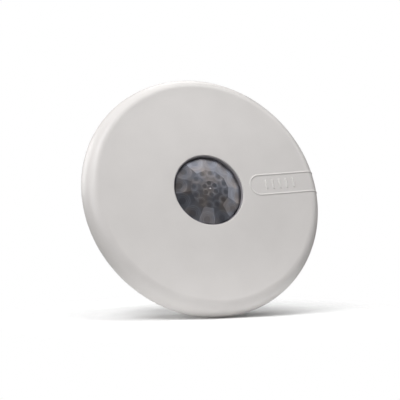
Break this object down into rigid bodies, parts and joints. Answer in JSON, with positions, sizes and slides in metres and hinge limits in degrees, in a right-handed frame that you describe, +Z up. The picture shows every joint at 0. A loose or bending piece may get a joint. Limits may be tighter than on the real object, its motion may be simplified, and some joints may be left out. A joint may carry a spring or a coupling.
{
  "type": "ceiling motion sensor",
  "caption": "Round ceiling-mount motion sensor: a shallow domed cover with a faceted smoked lens turns and lifts off a base tray with its circuit board.",
  "frame": {"origin": "centre of the flat mounting face", "axes": "-Y out of the sensor's face along its own axis, +Z up as the disc stands on its edge, +X towards the raised tongue"},
  "size_m": [0.1491, 0.0458, 0.149],
  "materials": {
    "cover_shell": "warm off-white moulded plastic, fine satin gloss",
    "base_shell": "warm off-white moulded plastic, matt",
    "smoked_lens": "smoked dark polyethylene, moulded Fresnel zones",
    "black_plastic": "black moulded plastic",
    "grey_plastic": "grey moulded plastic",
    "dark_rubber": "black elastomer",
    "foam": "dark cellular foam",
    "circuit_board": "green solder mask on glass-epoxy",
    "antenna_laminate": "pale microwave laminate",
    "copper_gold": "gold-flashed copper",
    "steel": "zinc-plated steel",
    "tinned_can": "tinned sheet steel",
    "nickel_can": "nickel-plated can",
    "infrared_window": "dark coated silicon window",
    "terminal_green": "green moulded polyamide",
    "relay_yellow": "cream relay case",
    "switch_blue": "blue moulded plastic",
    "white_plastic": "white moulded plastic",
    "nylon": "natural nylon",
    "lamp_red": "tinted lamp resin",
    "lamp_dark": "dark infrared-passing resin",
    "capacitor_sleeve": "dark sleeved aluminium can",
    "chip_black": "black epoxy package",
    "chip_ceramic": "tan ceramic with tinned ends"
  },
  "bodies": {
    "base": {"base_ring": "base_shell", "base_plate": "base_shell", "plate_screws": "steel", "cable_grommet": "dark_rubber", "main_pcb": "circuit_board", "pcb_screws": "steel", "pyro_holder": "black_plastic", "pyro_sensor": "nickel_can", "pyro_window": "infrared_window", "pyro_leads": "copper_gold", "light_shield": "foam", "status_leds": "lamp_red", "antimask_emitters": "lamp_dark", "rf_shield_can": "tinned_can", "antenna_board": "antenna_laminate", "antenna_patches": "copper_gold", "rf_header": "black_plastic", "terminal_block_left": "terminal_green", "terminal_block_right": "terminal_green", "terminal_screws": "steel", "wire_clamps": "tinned_can", "relays": "relay_yellow", "dip_switch_body": "switch_blue", "trimmer_bodies": "switch_blue", "microcontroller": "chip_black", "amplifier_chip": "chip_black", "capacitors": "capacitor_sleeve", "inductor": "chip_black", "crystal_can": "nickel_can", "chip_parts": "chip_ceramic", "tamper_switch": "black_plastic", "tamper_spring": "steel", "rear_tamper_switch": "black_plastic", "rear_tamper_spring": "steel"},
    "seal_carrier": {"cover_seal": "dark_rubber"},
    "cover": {"front_cover": "cover_shell", "fresnel_lens": "smoked_lens", "lens_bezel": "black_plastic", "lens_gasket": "foam", "lens_retainer": "grey_plastic", "retainer_screws": "steel"},
    "lock_tip": {"lock_tip": "nylon"},
    "lock_screw": {"lock_screw": "steel"},
    "tamper_plunger": {"tamper_plunger": "white_plastic"},
    "rear_tamper_plunger": {"rear_tamper_plunger": "white_plastic"},
    "range_trimmer": {"range_trimmer": "white_plastic"},
    "pulse_trimmer": {"pulse_trimmer": "white_plastic"},
    "dip_slider_1": {"dip_slider_1": "white_plastic"},
    "dip_slider_2": {"dip_slider_2": "white_plastic"},
    "dip_slider_3": {"dip_slider_3": "white_plastic"},
    "dip_slider_4": {"dip_slider_4": "white_plastic"},
    "dip_slider_5": {"dip_slider_5": "white_plastic"},
    "dip_slider_6": {"dip_slider_6": "white_plastic"}
  },
  "joints": [
    {"name": "cover_lift", "type": "slide", "parent": "base", "child": "seal_carrier", "axis": [0, -1, 0], "range_m": [0, 0.12]},
    {"name": "cover_turn", "type": "hinge", "parent": "seal_carrier", "child": "cover", "pos_m": [0, 0, 0], "axis": [0, -1, 0], "range_deg": [0, 12]},
    {"name": "lock_screw_travel", "type": "slide", "parent": "cover", "child": "lock_tip", "axis": [-0.766, 0, -0.6428], "range_m": [0, 0.0008]},
    {"name": "lock_screw_turn", "type": "hinge", "parent": "lock_tip", "child": "lock_screw", "pos_m": [0.05362, -0.0346, 0.045], "axis": [-0.766, 0, -0.6428], "range_deg": [0, 577]},
    {"name": "tamper_travel", "type": "slide", "parent": "base", "child": "tamper_plunger", "axis": [0, 1, 0], "range_m": [0, 0.0016], "deforming": ["tamper_spring"]},
    {"name": "rear_tamper_travel", "type": "slide", "parent": "base", "child": "rear_tamper_plunger", "axis": [0, 1, 0], "range_m": [0, 0.0015], "deforming": ["rear_tamper_spring"]},
    {"name": "dip_1_travel", "type": "slide", "parent": "base", "child": "dip_slider_1", "axis": [1, 0, 0], "range_m": [0, 0.002]},
    {"name": "dip_2_travel", "type": "slide", "parent": "base", "child": "dip_slider_2", "axis": [1, 0, 0], "range_m": [0, 0.002]},
    {"name": "dip_3_travel", "type": "slide", "parent": "base", "child": "dip_slider_3", "axis": [1, 0, 0], "range_m": [0, 0.002]},
    {"name": "dip_4_travel", "type": "slide", "parent": "base", "child": "dip_slider_4", "axis": [1, 0, 0], "range_m": [0, 0.002]},
    {"name": "dip_5_travel", "type": "slide", "parent": "base", "child": "dip_slider_5", "axis": [1, 0, 0], "range_m": [0, 0.002]},
    {"name": "dip_6_travel", "type": "slide", "parent": "base", "child": "dip_slider_6", "axis": [1, 0, 0], "range_m": [0, 0.002]},
    {"name": "range_trimmer_turn", "type": "hinge", "parent": "base", "child": "range_trimmer", "pos_m": [0.031, -0.024, 0.016], "axis": [0, -1, 0], "range_deg": [-130, 130]},
    {"name": "pulse_trimmer_turn", "type": "hinge", "parent": "base", "child": "pulse_trimmer", "pos_m": [0.031, -0.024, -0.016], "axis": [0, -1, 0], "range_deg": [-130, 130]}
  ],
  "couplings": [
    {"joint": "tamper_travel", "follows": "cover_turn", "m_per_rad": 0.007162},
    {"joint": "lock_screw_turn", "follows": "lock_screw_travel", "rad_per_m": 12566}
  ]
}
